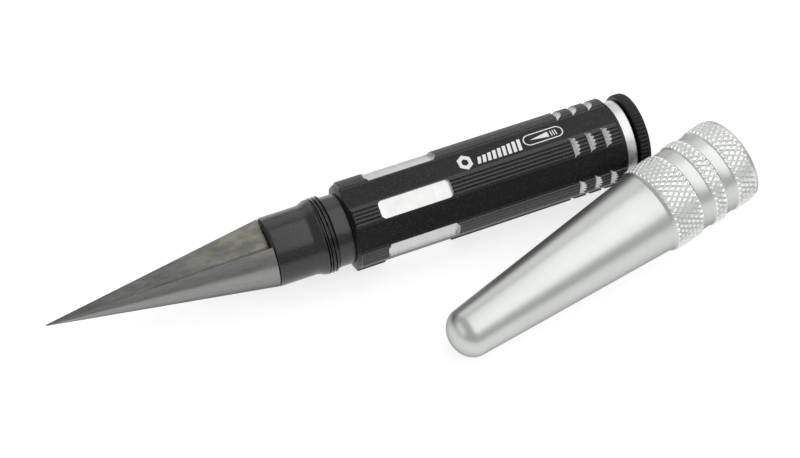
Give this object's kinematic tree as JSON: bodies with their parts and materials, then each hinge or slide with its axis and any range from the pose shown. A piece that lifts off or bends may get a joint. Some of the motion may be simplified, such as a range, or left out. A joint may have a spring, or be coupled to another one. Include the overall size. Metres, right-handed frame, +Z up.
{
  "type": "taper hand reamer with storage cap",
  "caption": "Taper hand reamer with a fluted steel cone, a ribbed black grip with a turning end disc, and its threaded aluminium storage cap beside it.",
  "frame": {"origin": "middle of the whole object's box, on the surface that both halves lie on", "axes": "+Z up; +X along the storage cap from its nose to its open mouth; the reamer lies beside it, its tip towards -X, heading 13.18 degrees clockwise of +X seen from above"},
  "size_m": [0.133, 0.0562, 0.0203],
  "materials": {
    "ground_steel": "ground, with heat tint near the base",
    "black_anodised": "black anodised, satin",
    "bare_aluminium": "bright turned",
    "satin_aluminium": "satin anodised, knurled bands",
    "bearing_steel": "polished",
    "cage_brass": "pressed",
    "dark_steel": "black oxide"
  },
  "bodies": {
    "tool": {"reamer_blade": "ground_steel", "front_collar": "black_anodised", "handle": "black_anodised", "shank_set_screw": "dark_steel", "bearing_sleeve": "bare_aluminium", "bearing_outer_ring": "bearing_steel", "bearing_shield_front": "bearing_steel", "bearing_shield_rear": "bearing_steel", "retaining_ring": "dark_steel"},
    "swivel": {"swivel_disc": "black_anodised", "pivot_screw": "bearing_steel", "spacer_washer": "bearing_steel", "bearing_inner_ring": "bearing_steel"},
    "ball_set": {"bearing_cage": "cage_brass", "bearing_ball_1": "bearing_steel", "bearing_ball_2": "bearing_steel", "bearing_ball_3": "bearing_steel", "bearing_ball_4": "bearing_steel", "bearing_ball_5": "bearing_steel", "bearing_ball_6": "bearing_steel", "bearing_ball_7": "bearing_steel"},
    "cap": {"storage_cap": "satin_aluminium"}
  },
  "joints": [
    {"name": "disc_swivel", "type": "hinge", "parent": "tool", "child": "swivel", "pos_m": [0.04997, 0.00061, 0.00886], "axis": [0.9737, -0.228, 0], "continuous": true},
    {"name": "ball_set_orbit", "type": "hinge", "parent": "tool", "child": "ball_set", "pos_m": [0.04997, 0.00061, 0.00886], "axis": [0.9737, -0.228, 0], "continuous": true},
    {"name": "cap_lift", "type": "slide", "parent": "tool", "child": "cap", "axis": [0, 0, 1], "range_m": [0, 0.08]}
  ],
  "couplings": [
    {"joint": "ball_set_orbit", "follows": "disc_swivel", "ratio": 0.4077}
  ]
}
